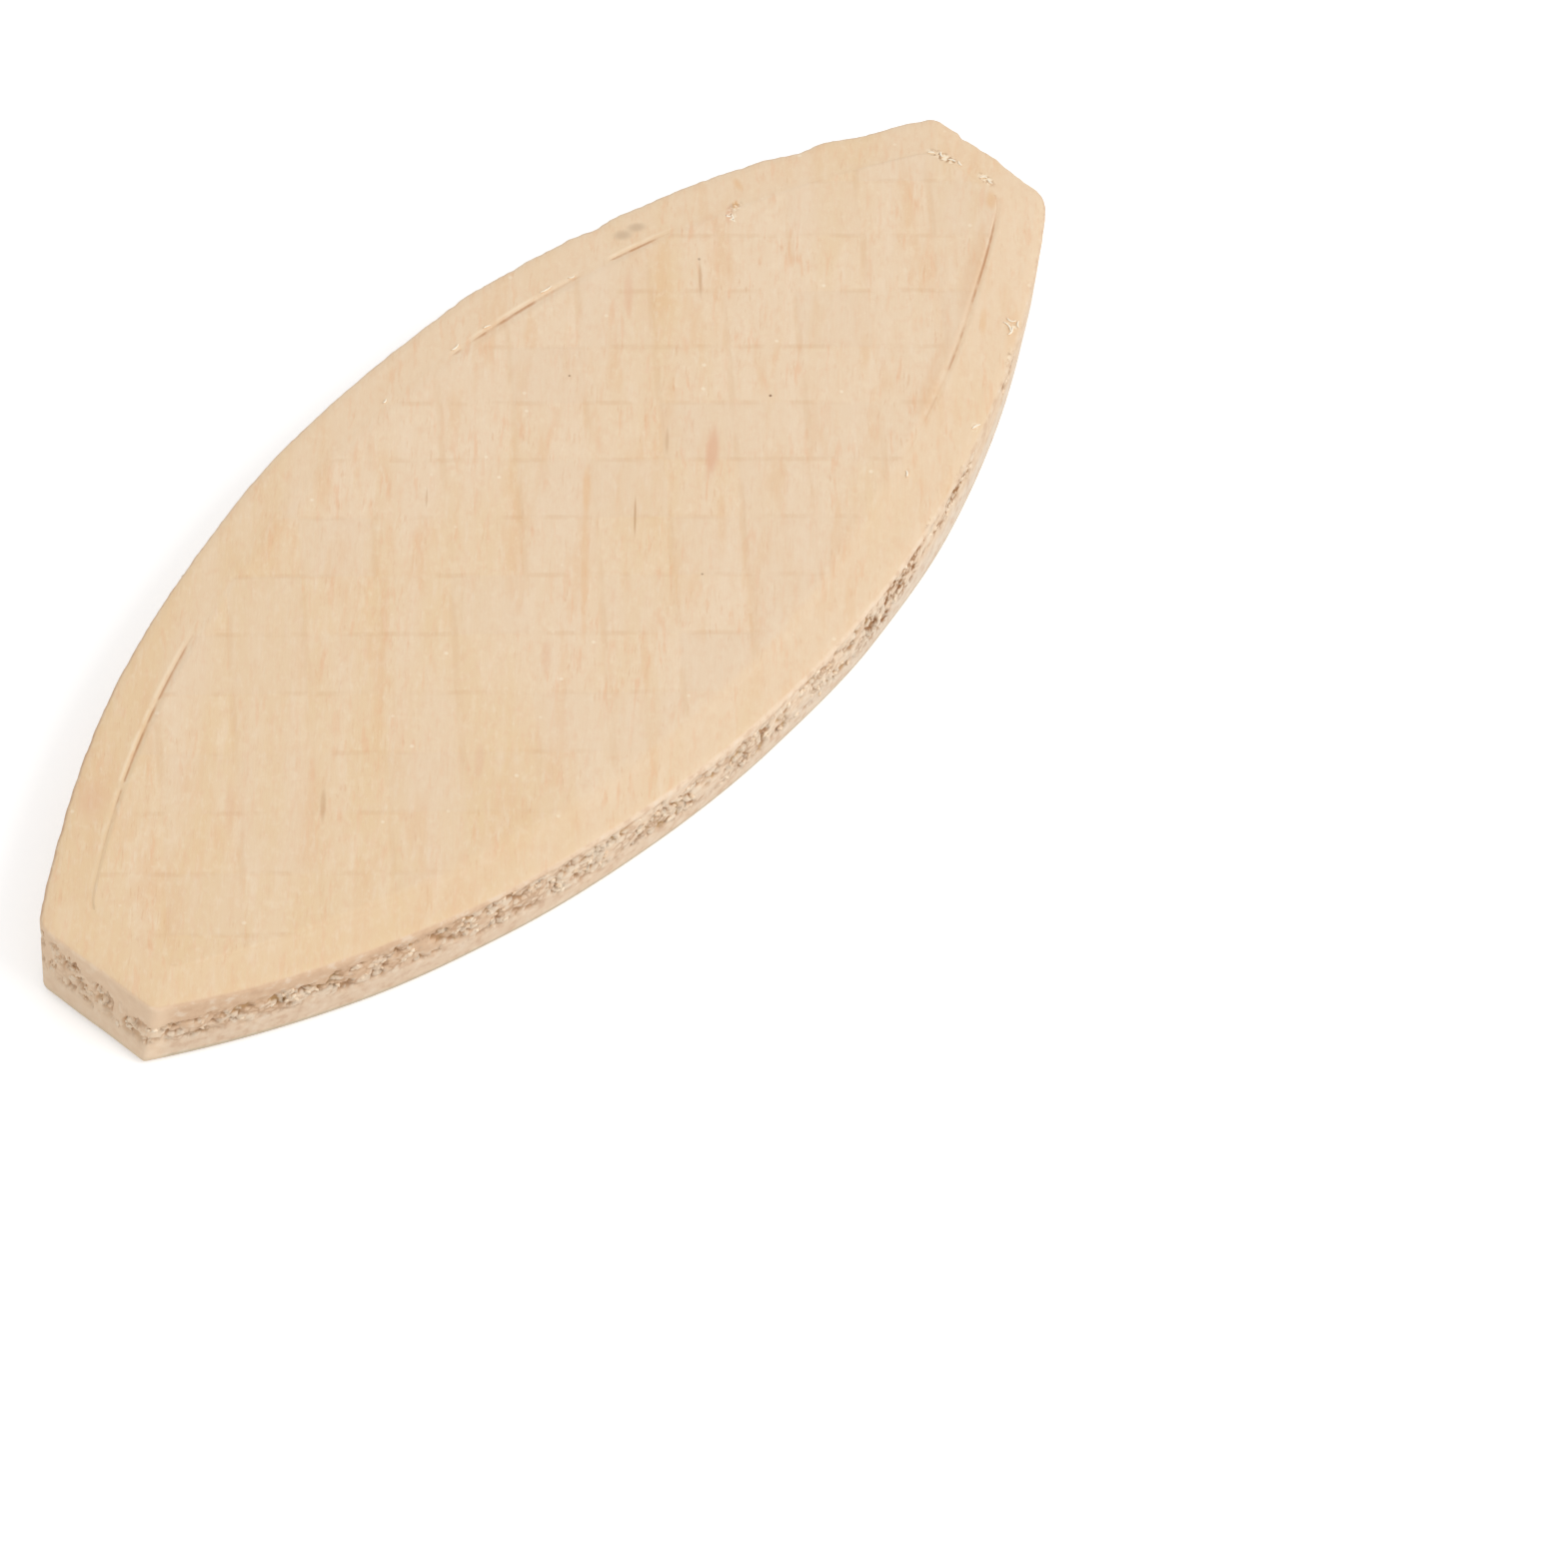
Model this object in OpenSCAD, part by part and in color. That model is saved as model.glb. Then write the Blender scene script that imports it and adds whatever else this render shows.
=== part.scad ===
// Jointing biscuit, size no. 20: a lens of pressed beech that is glued into a pair of cut slots
// and swells there. It lies flat on its lower face. X runs along its length and Z is up.
// The origin is on the lower face, under the middle of the length and the width.

/* [Outline] */
// Length over the two clipped tips
length = 56; // [44:0.5:60]
// Width across the middle
width = 23; // [21:0.5:30]
// Diameter of the cutter whose slot the two long arcs follow
cutter_d = 100; // [92:2:140]
// Length that is broken off each corner, along the tip
corner_break = 0.5; // [0.2:0.1:0.8]

/* [Edge] */
// Thickness across the gridded field
thickness = 4; // [3:0.1:6]
// Drop of the plain border from the field down to the arris, on each face
border_drop = 0.2; // [0.05:0.05:0.5]
// Broken corner between a border and the edge
arris = 0.15; // [0.05:0.05:0.3]
// How far the punch drew the lower outline in along each long side
side_taper = 0.35; // [0:0.05:0.6]
// How far the punch drew the lower outline in at each tip
tip_taper = 0.15; // [0:0.05:0.6]

/* [Torn belt] */
// Clean cut under the upper face, before the fibres tear
cut_h = 0.8; // [0.7:0.1:1.2]
// Smooth foot under the torn belt
foot_h = 1.1; // [0.8:0.1:1.4]
// Rows of torn fibre, one above the other
tear_rows = 3; // [1:1:5]
// Distance from one tear to the next along the edge
tear_pitch = 0.8; // [0.6:0.1:2]
// Depth of the shallowest tear
tear_min = 0.08; // [0.05:0.01:0.2]
// Depth of the deepest tear
tear_max = 0.45; // [0.25:0.05:0.6]
// Place along the near long side past which the tears stay at their shallowest
tear_end = 16; // [8:1:24]

/* [Pressed lines] */
// Width of the plain border between the outline and the crease
border_w = 1.9; // [1.2:0.1:2.4]
// Width of the crease round the gridded field
crease_w = 0.24; // [0.1:0.02:0.5]
// Depth of the crease
crease_depth = 0.12; // [0.04:0.02:0.3]
// Distance from one grid line to the next
grid_pitch = 2.93; // [1.8:0.01:6]
// Angle of the grid lines to the length
grid_angle = 42.5; // [0:0.5:90]
// Width of a grid line
groove_w = 0.2; // [0.1:0.02:0.5]
// Depth of a grid line
groove_depth = 0.08; // [0.04:0.02:0.3]

/* [Hidden] */
$fn = 360;
beech = [0.91, 0.80, 0.66];
arc_r = cutter_d / 2;
// Distance of each arc's centre from the long middle line
arc_offset = arc_r - width / 2;
// Distance that a cutter stands clear of the face it cuts
clear = 1;
// Grid lines on each side of the middle, enough for a field turned to any angle
grid_count = ceil(length / 2 / grid_pitch);
// Height of one row of tears
row_h = (thickness - cut_h - foot_h) / tear_rows;
// Runs of tears in a row, which are the two long sides and the two tips
runs = 4;
// Length along the near side over which the tears grow shallow
tear_run_out = 5;
// Seed of the tear depths, so that each build is the same
tear_seed = 20;

// Half of the section, from the middle out to an edge at this reach, as the punch and press leave it
function edge_section(reach, taper) = [
    [0, 0],
    [reach - taper - border_w, 0],
    [reach - taper - arris, border_drop],
    [reach - taper, border_drop + arris],
    [reach, thickness - border_drop - arris],
    [reach - arris, thickness - border_drop],
    [reach - border_w, thickness],
    [0, thickness]
];

// Round plate with the edge section, whose rim is one long side of the biscuit
module arc_plate(side) {
    translate([0, -side * arc_offset, 0])
        rotate_extrude()
            polygon(edge_section(arc_r, side_taper));
}

// Bar with the edge section at both ends, which are the two tips
module tip_bar() {
    half = edge_section(length / 2, tip_taper);
    other_half = [for (i = [len(half) - 2 : -1 : 1]) [-half[i][0], half[i][1]]];
    rotate([90, 0, 0])
        linear_extrude(width + 2 * clear, center = true)
            polygon(concat([for (i = [1 : len(half) - 2]) half[i]], other_half));
}

// Outline of the biscuit, moved in by an inset, with its corners broken
module outline(inset) {
    r = arc_r - inset;
    tip_x = length / 2 - inset;
    tip_y = sqrt(r * r - tip_x * tip_x) - arc_offset - corner_break;
    // A broken corner faces midway between the tip and the arc
    facing = (90 - asin(tip_x / r)) / 2;
    far_x = tip_x - width * sin(facing);
    far_y = tip_y + width * cos(facing);
    intersection() {
        translate([0, -arc_offset]) circle(r);
        translate([0, arc_offset]) circle(r);
        polygon([
            [tip_x, -tip_y],
            [tip_x, tip_y],
            [far_x, far_y],
            [-far_x, far_y],
            [-tip_x, tip_y],
            [-tip_x, -tip_y],
            [-far_x, -far_y],
            [far_x, -far_y]
        ]);
    }
}

// Plain blank as it leaves the punch, with its two sloping borders
module blank() {
    intersection() {
        arc_plate(1);
        arc_plate(-1);
        tip_bar();
        linear_extrude(thickness) outline(0);
    }
}

// How far the punch has drawn the edge in at a level, as a part of the whole taper
function drawn_in(z) = (thickness - border_drop - arris - z) / (thickness - 2 * (border_drop + arris));

// Points of a torn row along one long side, from its left end to its right end
function torn_side(side, taper, seed) =
    let (
        half_angle = asin((length / 2 - 2 * corner_break) / arc_r),
        count = ceil(2 * half_angle * PI / 180 * arc_r / tear_pitch),
        depth = rands(0, 1, count + 1, seed)
    )
    [
        for (i = [0 : count])
            let (
                angle = half_angle * (2 * i / count - 1),
                x = arc_r * sin(angle),
                torn = side > 0 ? 1 : max(0, min(1, (tear_end - x) / tear_run_out)),
                r = arc_r - taper - tear_min - (tear_max - tear_min) * torn * depth[i]
            )
            [r * sin(angle), side * (r * cos(angle) - arc_offset)]
    ];

// Points of a torn row across one tip, from its near end to its far end
function torn_tip(side, taper, seed) =
    let (
        half_tip = sqrt(arc_r * arc_r - length * length / 4) - arc_offset - 2 * corner_break,
        count = ceil(2 * half_tip / tear_pitch),
        depth = rands(tear_min, tear_max, count + 1, seed)
    )
    [for (i = [0 : count]) [side * (length / 2 - taper - depth[i]), half_tip * (2 * i / count - 1)]];

function reversed(points) = [for (i = [len(points) - 1 : -1 : 0]) points[i]];

// Outline of what one row of torn fibre leaves standing
module torn_outline(row) {
    part = drawn_in(foot_h + row * row_h);
    seed = tear_seed + runs * row;
    polygon(concat(
        torn_side(-1, part * side_taper, seed),
        torn_tip(1, part * tip_taper, seed + 1),
        reversed(torn_side(1, part * side_taper, seed + 2)),
        reversed(torn_tip(-1, part * tip_taper, seed + 3))
    ));
}

// Belt of torn fibre round the edge, as the space that it leaves open
module torn_belt() {
    for (row = [0 : tear_rows - 1])
        translate([0, 0, foot_h + row * row_h])
            linear_extrude(row_h)
                difference() {
                    square([length + 2 * clear, width + 2 * clear], center = true);
                    torn_outline(row);
                }
}

// Crease round the field, as a closed ring
module crease(inset) {
    difference() {
        outline(inset);
        outline(inset + crease_w);
    }
}

// Square grid across the field, with one square at the middle
module grid(inset) {
    intersection() {
        outline(inset);
        rotate(grid_angle)
            for (turn = [0, 90], k = [-grid_count : grid_count - 1])
                rotate(turn)
                    translate([0, (k + 0.5) * grid_pitch])
                        square([2 * length, groove_w], center = true);
    }
}

// What the press leaves in the upper face: a crease, and a grid inside it
module pressed_lines(inset) {
    translate([0, 0, thickness - crease_depth])
        linear_extrude(crease_depth + clear) crease(inset);
    translate([0, 0, thickness - groove_depth])
        linear_extrude(groove_depth + clear) grid(inset + crease_w / 2);
}

module biscuit() {
    color(beech)
        difference() {
            blank();
            torn_belt();
            pressed_lines(border_w);
            translate([0, 0, thickness])
                mirror([0, 0, 1])
                    pressed_lines(border_w + side_taper);
        }
}

biscuit();
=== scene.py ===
# %% [markdown]
# # A jointing biscuit of pressed beech
#
# A jointing biscuit is a small lens of beech. It is punched out of a thin board and pressed between two dies, so
# that it slides into a slot and swells there when glue wets it. This lesson dresses the plain solid of one such
# biscuit: it builds a fine mesh with the pressed pattern and the torn edge as real relief, and gives it wood.
#
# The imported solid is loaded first, because every size below is taken from it.

# %% Load the fixed frame
import math
import random

import bmesh
import bpy
import numpy as np
from mathutils import Matrix, Vector, noise


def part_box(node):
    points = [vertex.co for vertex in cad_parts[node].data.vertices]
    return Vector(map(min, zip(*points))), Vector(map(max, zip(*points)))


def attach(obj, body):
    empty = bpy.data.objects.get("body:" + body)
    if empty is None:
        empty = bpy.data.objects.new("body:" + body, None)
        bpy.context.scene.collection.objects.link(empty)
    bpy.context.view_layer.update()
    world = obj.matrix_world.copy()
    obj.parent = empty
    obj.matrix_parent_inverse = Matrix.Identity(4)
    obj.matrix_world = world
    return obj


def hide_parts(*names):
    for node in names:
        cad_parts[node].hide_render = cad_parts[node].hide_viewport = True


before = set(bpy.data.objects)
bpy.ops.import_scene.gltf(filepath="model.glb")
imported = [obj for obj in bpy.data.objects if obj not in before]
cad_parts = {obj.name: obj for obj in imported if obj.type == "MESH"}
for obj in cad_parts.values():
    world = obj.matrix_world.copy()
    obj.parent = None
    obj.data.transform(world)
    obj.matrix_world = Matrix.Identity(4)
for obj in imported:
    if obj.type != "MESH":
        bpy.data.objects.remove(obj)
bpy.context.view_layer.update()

# %% [markdown]
# ## The sizes
#
# Blender works in metres, and a biscuit is measured in millimetres, so `MM` stands in front of every size. Half the
# length, half the width and the thickness come from the frame. The long sides are arcs of the slot that a 100 mm
# cutter leaves, so one radius and one shift of its centre give the whole lens.

# %% Sizes of the lens
MM = 0.001
low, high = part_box("biscuit")
half_l, half_w, thick = high.x, high.y, high.z
arc_r = 50 * MM
arc_shift = arc_r - half_w
half_tip = math.sqrt(arc_r**2 - half_l**2) - arc_shift
print("half length %.1f, half width %.1f, thickness %.1f, half tip %.2f mm"
      % (half_l / MM, half_w / MM, thick / MM, half_tip / MM))

# %% [markdown]
# ## The camera
#
# The view looks down on the biscuit with a long lens. A camera is easiest to keep right as four things: the point on
# the floor that it aims at, the way it looks down (turn and height), its distance, and its roll. The matrix is then
# made of its three axes, which is clearer than three Euler angles that act on each other.

# %% Camera
IMAGE_SIDE = 1569
FOCAL_PX = 10466
AIM = Vector((-0.81, -12.31, 0)) * MM
TURN, HEIGHT, ROLL = math.radians(57.54), math.radians(51.59), math.radians(7.46)
DISTANCE = 409.7 * MM

right = Vector((math.cos(TURN), -math.sin(TURN), 0))
back = Vector((-math.cos(HEIGHT) * math.sin(TURN), -math.cos(HEIGHT) * math.cos(TURN), math.sin(HEIGHT)))
up = back.cross(right)
cam_x = right * math.cos(ROLL) + up * math.sin(ROLL)
cam_y = up * math.cos(ROLL) - right * math.sin(ROLL)

cam_data = bpy.data.cameras.new("camera")
cam_data.sensor_width = 36
cam_data.lens = FOCAL_PX * cam_data.sensor_width / IMAGE_SIDE
camera = bpy.data.objects.new("camera", cam_data)
bpy.context.scene.collection.objects.link(camera)
axes = Matrix((cam_x, cam_y, back)).transposed().to_4x4()
camera.matrix_world = Matrix.Translation(AIM + back * DISTANCE) @ axes
bpy.context.scene.camera = camera
bpy.context.scene.view_settings.view_transform = "Standard"
print("lens %.0f mm" % cam_data.lens)

# %% [markdown]
# ## Helpers for materials
#
# A node material is a small network, and a few short helpers keep it readable. `add` makes a node and sets or links
# its sockets. `blend` lays one colour over another, `number` is a bit of arithmetic, and `ramp` turns a range of
# numbers into another range with a soft start and end.

# %% Shader node helpers
def srgb(r, g, b):
    """A colour as it is read off a picture, 0 to 255, as Blender's linear colour."""
    made = []
    for c in (r, g, b):
        c /= 255
        made.append(c / 12.92 if c <= 0.04045 else ((c + 0.055) / 1.055) ** 2.4)
    return (*made, 1)


def new_material(name):
    """An empty node material, and its tree."""
    made = bpy.data.materials.new(name)
    made.use_nodes = True
    made.node_tree.nodes.clear()
    return made, made.node_tree


def add(tree, kind, sockets=None, **settings):
    """A shader node with its settings, and its sockets set or linked."""
    made = tree.nodes.new("ShaderNode" + kind)
    for name, value in settings.items():
        setattr(made, name, value)
    for name, value in (sockets or {}).items():
        if isinstance(value, bpy.types.NodeSocket):
            tree.links.new(value, made.inputs[name])
        else:
            made.inputs[name].default_value = value
    return made


def number(tree, operation, a, b=0.0):
    return add(tree, "Math", {0: a, 1: b}, operation=operation).outputs[0]


def ramp(tree, value, start, end, to_start=0.0, to_end=1.0):
    """A value between start and end turned into one between to_start and to_end, softly."""
    sockets = {"Value": value, "From Min": start, "From Max": end, "To Min": to_start, "To Max": to_end}
    return add(tree, "MapRange", sockets, interpolation_type="SMOOTHSTEP").outputs["Result"]


def blend(tree, amount, under, over):
    """One colour laid over another. In a Mix node for colours these are sockets 6 and 7, and output 2."""
    return add(tree, "Mix", {0: amount, 6: under, 7: over}, data_type="RGBA").outputs[2]


def attribute(tree, name):
    return add(tree, "Attribute", attribute_name=name).outputs["Fac"]


print("helpers ready")

# %% [markdown]
# ## Floor, backdrop and light
#
# A studio cut-out has a white ground. The floor is a pale surface that takes the shadow. Rays that come straight
# from the camera, or by way of a gloss or a glass, also see a little light of its own, which lifts it to white
# without lighting the wood any more. The world is white to the same rays, and dimmer as a lamp.
#
# The wood is lit softly from all round, with one big lamp on the right, because the edge is brightest there.

# %% Floor, world and lamp
FLOOR_SIDE = 4.0
FLOOR_GLOW = 0.41
WORLD_FILL = 0.70
KEY_WATTS = 1.5
KEY_SIZE = 0.35
KEY_DISTANCE = 0.6


def seen_directly(tree):
    """1 for camera, glossy and transmission rays, and 0 for the rays that light things."""
    seen = add(tree, "LightPath").outputs
    mirrored = number(tree, "MAXIMUM", seen["Is Glossy Ray"], seen["Is Transmission Ray"])
    return number(tree, "MAXIMUM", seen["Is Camera Ray"], mirrored)


bpy.ops.object.select_all(action="DESELECT")
bpy.ops.mesh.primitive_plane_add(size=FLOOR_SIDE, location=(0, 0, 0))
floor = bpy.context.object
floor.name = "floor"

paper, tree = new_material("pale_floor")
matt = add(tree, "BsdfDiffuse", {"Color": (0.86, 0.86, 0.86, 1)})
glow = number(tree, "MULTIPLY", seen_directly(tree), FLOOR_GLOW)
lift = add(tree, "Emission", {"Color": (1, 1, 1, 1), "Strength": glow})
both = add(tree, "AddShader", {0: matt.outputs[0], 1: lift.outputs[0]})
add(tree, "OutputMaterial", {"Surface": both.outputs[0]})
floor.data.materials.append(paper)

world = bpy.data.worlds.new("studio")
bpy.context.scene.world = world
world.use_nodes = True
tree = world.node_tree
tree.nodes.clear()
level = ramp(tree, seen_directly(tree), 0, 1, WORLD_FILL, 1.0)
sky = add(tree, "Background", {"Color": (1, 1, 1, 1), "Strength": level})
add(tree, "OutputWorld", {"Surface": sky.outputs[0]})

floor_right = Vector((right.x, right.y, 0)).normalized()
floor_away = Vector((-back.x, -back.y, 0)).normalized()
key_from = (floor_right * 0.9 - floor_away * 0.3 + Vector((0, 0, 1.0))).normalized()
key_data = bpy.data.lights.new("key", "AREA")
key_data.energy = KEY_WATTS
key_data.size = KEY_SIZE
key = bpy.data.objects.new("key", key_data)
bpy.context.scene.collection.objects.link(key)
facing = key_from.to_track_quat("Z", "Y").to_matrix().to_4x4()
key.matrix_world = Matrix.Translation(key_from * KEY_DISTANCE) @ facing
print("key lamp at", [round(c, 2) for c in key.location])

# %% [markdown]
# ## Lines round the biscuit
#
# Every level of the biscuit is one closed line: the crease that the die pressed, the upper rim, the lower rim. Each
# is the lens moved out or in by a small amount that changes along the way, because a real punch leaves the blank a
# little proud here and a little short there. So one function makes them all. It takes four small rules, one for each
# side, and gives a point for each column of the mesh to come.
#
# The columns are counted anticlockwise from the left end of the near side.

# %% Closed lines round the lens
CELLS_LONG, CELLS_WIDE = 264, 76
LONG, WIDE = 2 * CELLS_LONG, 2 * CELLS_WIDE
COLUMNS = 2 * (LONG + WIDE)


def rule(*stops, unit=MM):
    """A smooth rule from stops, each a place in mm and an amount, as a function of a place in metres."""
    at = np.array([s[0] for s in stops]) * MM
    amount = np.array([s[1] for s in stops]) * unit

    def value(place):
        place = np.atleast_1d(np.asarray(place, float))
        step = np.clip(np.searchsorted(at, place) - 1, 0, len(at) - 2)
        part = np.clip((place - at[step]) / (at[step + 1] - at[step]), 0, 1)
        part = part * part * (3 - 2 * part)
        return amount[step] * (1 - part) + amount[step + 1] * part

    return value


def side_y(x, offset):
    """How far a long side lies from the long axis."""
    return np.sqrt((arc_r + offset) ** 2 - x**2) - arc_shift


def corner(x_sign, y_sign, side, tip):
    """Where a long side meets a tip."""
    y = y_sign * half_tip
    for _ in range(5):
        x = x_sign * (half_l + tip(y)[0])
        y = y_sign * side_y(x, side(x)[0])
    return np.array([x, y])


def closed_line(near, right_tip, far, left_tip, rounding=(0, 0, 0, 0)):
    """One point for each column, in metres, with its four corners rounded by the given lengths in mm."""
    left_near, right_near = corner(-1, -1, near, left_tip), corner(1, -1, near, right_tip)
    left_far, right_far = corner(-1, 1, far, left_tip), corner(1, 1, far, right_tip)
    part_l, part_w = np.arange(LONG) / LONG, np.arange(WIDE) / WIDE
    x = left_near[0] + (right_near[0] - left_near[0]) * part_l
    near_side = np.c_[x, -side_y(x, near(x))]
    y = right_near[1] + (right_far[1] - right_near[1]) * part_w
    right_side = np.c_[half_l + right_tip(y), y]
    x = right_far[0] + (left_far[0] - right_far[0]) * part_l
    far_side = np.c_[x, side_y(x, far(x))]
    y = left_far[1] + (left_near[1] - left_far[1]) * part_w
    left_side = np.c_[-half_l - left_tip(y), y]
    line = np.vstack([near_side, right_side, far_side, left_side])
    starts = (0, LONG, LONG + WIDE, 2 * LONG + WIDE)
    for start, radius in zip(starts, rounding):
        if radius:
            line = rounded(line, start, radius * MM)
    return line


def rounded(line, start, reach):
    """The corner at one column turned into a smooth curve that starts and ends at that reach from it."""
    order = (np.arange(len(line)) + start - len(line) // 2) % len(line)
    run = line[order]
    step = np.hypot(*np.diff(run, axis=0).T)
    along = np.r_[0, np.cumsum(step)]
    along -= along[len(line) // 2]
    before = np.array([np.interp(-reach, along, run[:, i]) for i in (0, 1)])
    after = np.array([np.interp(reach, along, run[:, i]) for i in (0, 1)])
    middle = run[len(line) // 2]
    inside = np.abs(along) < reach
    t = ((along[inside] + reach) / (2 * reach))[:, None]
    run = run.copy()
    run[inside] = (1 - t) ** 2 * before + 2 * t * (1 - t) * middle + t**2 * after
    line = line.copy()
    line[order] = run
    return line


# %% [markdown]
# ## The outline as it was punched
#
# The stops below were read off the object, in millimetres out (plus) or in (minus) from the true lens, at places
# along it. The far side has a few small proud spots near the right end, and the right tip is ragged, because the
# wood broke there instead of being cut. The lower rim is smaller than the upper one: the punch tapers, most of all
# in the middle. A noise adds the last small nicks.

# %% The upper rim, the lower rim and the crease
upper_rim = closed_line(
    near=rule((-28, -0.1), (-24, 0.0), (-16, 0.0), (-9, -0.14), (0, -0.14), (8, -0.1), (14, -0.1), (24, -0.06),
              (26.6, -0.02)),
    right_tip=rule((-3, -0.3), (-2.1, -0.28), (-1.2, -0.22), (-0.8, -0.19), (-0.2, -0.06), (0.5, -0.1),
                   (1.4, -0.07), (1.8, -0.01), (3, -0.01)),
    far=rule((-28, -0.01), (-24, -0.08), (-18, -0.04), (-10, -0.12), (-4, -0.01), (0, -0.04), (4, 0.0), (7.8, 0.13),
             (9.5, 0.08), (12.6, 0.07), (13.7, -0.04), (15, 0.06), (18, 0.08), (21.4, 0.05), (22.7, -0.04),
             (23.8, 0.06), (25.1, -0.08), (25.8, -0.07), (26.6, 0.01), (28, 0.0)),
    left_tip=rule((-3, -0.03), (0, -0.1), (3, -0.15)),
    rounding=(0.35, 0.9, 0.5, 0.6))
lower_rim = closed_line(
    near=rule((-28, -0.34), (-20, -0.34), (-14, -0.46), (-7, -0.53), (0, -0.48), (7, -0.3), (13, -0.17), (23, -0.16),
              (26, -0.08), (28, -0.02)),
    right_tip=rule((-3, -0.35), (-1.2, -0.3), (0.5, -0.2), (3, -0.15)),
    far=rule((-28, -0.3), (-14, -0.42), (0, -0.5), (10, -0.3), (22, -0.2), (28, -0.15)),
    left_tip=rule((-3, -0.03), (0, -0.13), (3, -0.22)),
    rounding=(0.12, 0.8, 0.5, 0.3))
crease = closed_line(
    near=rule((-28, -1.7), (-12, -1.8), (0, -2.1), (12, -2.4), (20, -2.3), (27, -2.0)),
    right_tip=rule((-3, -1.7), (3, -1.6)),
    far=rule((-28, -1.9), (28, -1.9)),
    left_tip=rule((-3, -1.9), (3, -1.9)),
    rounding=(0.9, 0.9, 0.9, 0.9))
lower_crease = closed_line(
    near=rule((-28, -2.2), (28, -2.1)),
    right_tip=rule((-3, -2.0), (3, -2.0)),
    far=rule((-28, -2.1), (28, -2.2)),
    left_tip=rule((-3, -2.0), (3, -2.0)),
    rounding=(0.9, 0.9, 0.9, 0.9))
ragged_at = rule((-28, 0.03), (0, 0.035), (8, 0.06), (20, 0.09), (28, 0.1))
RAGGED_PITCH = 0.8 * MM
# Towards the near side the cut is cleaner
CALM_WIDTH = 4 * MM


def moved_in(line, inset):
    """A closed line moved inwards by a small amount, or by one amount for each column."""
    ahead = np.roll(line, -1, axis=0) - np.roll(line, 1, axis=0)
    ahead /= np.hypot(*ahead.T)[:, None]
    return line + np.c_[-ahead[:, 1], ahead[:, 0]] * np.reshape(inset, (-1, 1))


def nick(x, y):
    """How deep the rim is nicked at a place, from a coarse and a fine noise."""
    place = Vector((x, y, 0)) / RAGGED_PITCH
    depth = 0.5 + noise.noise(place) + 0.5 * noise.noise(place * 2.6)
    calm = min(max(0.75 + y / CALM_WIDTH, 0.35), 1)
    return max(depth, 0) * calm


nicks = np.array([nick(x, y) for x, y in upper_rim])
upper_rim = moved_in(upper_rim, ragged_at(upper_rim[:, 0]) * nicks)
print("%d columns, and nicks of up to %.2f mm in the rim" % (COLUMNS, ragged_at(half_l)[0] * nicks.max() / MM))

# %% [markdown]
# ## How strong the crease is
#
# The die wasn't quite level with the board, so its edge bit in well on some stretches and hardly touched on others.
# The strength is 1 where the crease is a sharp dark line, and near 0 where it can only be guessed.

# %% Strength of the crease by column
crease_near = rule((-28, 0.25), (-20, 0.25), (-8, 0.12), (8, 0.1), (12.4, 0.12), (13.6, 0.3), (16, 0.45),
                   (19, 0.75), (22, 1.0), (24.5, 1.0), (26, 0.8), (27.5, 0.3), unit=1)
crease_far = rule((-28, 0.2), (-24, 0.3), (-22.2, 0.45), (-21.2, 0.8), (-20.9, 0.7), (-20.6, 0.1), (-20.3, 0.7),
                  (-19, 0.8), (-14.5, 0.7), (-12.5, 0.2), (-8, 0.1), (4.4, 0.1), (5.0, 0.6), (5.5, 0.3), (6.7, 0.8),
                  (10.3, 0.9), (11.1, 0.6), (11.7, 0.06), (12.7, 0.08), (13.1, 0.85), (14.5, 0.8), (15.3, 0.35),
                  (16.2, 0.1), (28, 0.12), unit=1)
TIP_STRENGTH = 0.22


def crease_strength():
    x = crease[:, 0]
    column = np.arange(COLUMNS)
    strength = np.full(COLUMNS, TIP_STRENGTH)
    near = column < LONG
    far = (column >= LONG + WIDE) & (column < 2 * LONG + WIDE)
    strength[near] = crease_near(x[near])
    strength[far] = crease_far(x[far])
    return strength


strength_at = crease_strength()
print("crease is sharp on %.0f%% of its way" % (100 * (strength_at > 0.5).mean()))

# %% [markdown]
# ## The pressed face as height
#
# The die leaves a grid of shallow grooves that crosses the biscuit on the slant, with slightly domed squares between
# them, and a deeper crease where its plate ends. A height rule in plain numbers is the natural way: it gives the
# level of the face at any place, and the mesh takes it up afterwards.

# %% Height of the pressed face
GRID_TURN = math.radians(42.5)
GRID_PITCH = 2.93 * MM
GROOVE_HALF = 0.2 * MM
GROOVE_DEPTH = 0.011 * MM
DOME = 0.008 * MM
CREASE_DEPTH = 0.12 * MM
BORDER_LIP = 0.05 * MM
BORDER_DROP = 0.2 * MM
ARRIS = 0.15 * MM


def groove_distance(x, y):
    """Distance from the nearest groove of each of the two families."""
    a = -math.sin(GRID_TURN) * x + math.cos(GRID_TURN) * y
    b = math.cos(GRID_TURN) * x + math.sin(GRID_TURN) * y
    off_a = np.abs((a / GRID_PITCH) % 1 - 0.5) * GRID_PITCH
    off_b = np.abs((b / GRID_PITCH) % 1 - 0.5) * GRID_PITCH
    return off_a, off_b


def slow_noise(x, y, size, seed):
    """Perlin noise from 0 to 1 over the plan, for lists of points."""
    made = [noise.noise(Vector((px / size, py / size, seed))) for px, py in zip(x, y)]
    return 0.5 + 0.5 * np.array(made)


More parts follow.
